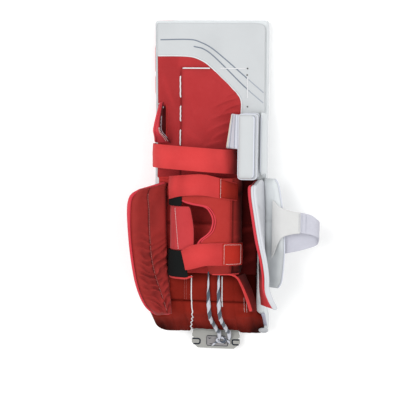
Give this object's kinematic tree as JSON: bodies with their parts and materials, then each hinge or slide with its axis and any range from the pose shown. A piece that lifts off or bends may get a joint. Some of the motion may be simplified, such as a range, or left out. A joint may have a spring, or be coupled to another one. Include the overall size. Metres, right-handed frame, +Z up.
{
  "type": "hockey goalie leg pad for the left leg",
  "caption": "Long padded leg guard lying on its front face: white board bent at the boot, red lining, straps, calf wrap, wings and toe plate on the leg side.",
  "frame": {"origin": "middle of the bottom of the whole pad's box, on the floor that it lies on", "axes": "+Z up, +Y along the pad towards the top of the thigh, +X towards the inner side of the leg"},
  "size_m": [0.4656, 0.8604, 0.2203],
  "materials": {
    "white_cover": "matt synthetic leather",
    "panel_white": "matt synthetic leather",
    "wing_white": "matt synthetic leather",
    "roll_red": "matt synthetic leather",
    "lining_red": "woven nylon",
    "shin_red": "woven nylon",
    "boot_red": "woven nylon",
    "wing_red": "woven nylon",
    "flap_red": "woven nylon",
    "wrap_red": "woven nylon",
    "wrap_salmon": "knitted nylon",
    "elastic_red": "ribbed elastic",
    "hook_black": "hook tape",
    "elastic_ivory": "ribbed elastic",
    "hook_grey": "hook tape",
    "knee_ivory": "matt synthetic leather",
    "toe_grey": "satin",
    "lace_white": "braided",
    "lace_twist": "braided",
    "strap_grey": "woven webbing",
    "buckle_grey": "satin"
  },
  "bodies": {
    "root": {"face_board": "white_cover", "outer_roll": "roll_red", "back_panel": "panel_white", "thigh_lining": "lining_red", "shin_lining": "shin_red", "boot_lining_left": "boot_red", "boot_lining_middle": "boot_red", "boot_lining_right": "boot_red", "thigh_lace_across_1": "lace_white", "thigh_lace_across_2": "lace_white", "thigh_lace_down_1": "lace_white", "thigh_lace_down_2": "lace_white", "thigh_lace_down_3": "lace_white", "thigh_lace_down_4": "lace_white", "boot_lace_left": "lace_white", "boot_lace_right": "lace_white", "knee_block": "wing_white", "knee_block_cover": "wing_white", "knee_wing": "knee_ivory", "knee_flap": "flap_red", "knee_strap": "elastic_red", "calf_wrap_right": "wrap_red", "calf_wrap_left": "wrap_salmon", "calf_web": "wrap_red", "hook_tab": "hook_black", "hook_tab_upper": "hook_black", "calf_strap_upper": "elastic_red", "calf_patch_upper": "wrap_red", "calf_strap_lower": "elastic_red", "calf_patch_lower": "wrap_red", "wing_outer": "wing_red", "wing_inner": "wing_white", "wing_inner_lining": "wing_red", "wing_flap": "wing_white", "side_strap": "elastic_ivory", "side_strap_tab": "hook_grey", "toe_plate": "toe_grey", "toe_patch": "toe_grey", "toe_lace_left": "lace_twist", "toe_lace_right": "lace_twist", "boot_strap": "strap_grey", "boot_buckle": "buckle_grey"}
  },
  "joints": []
}
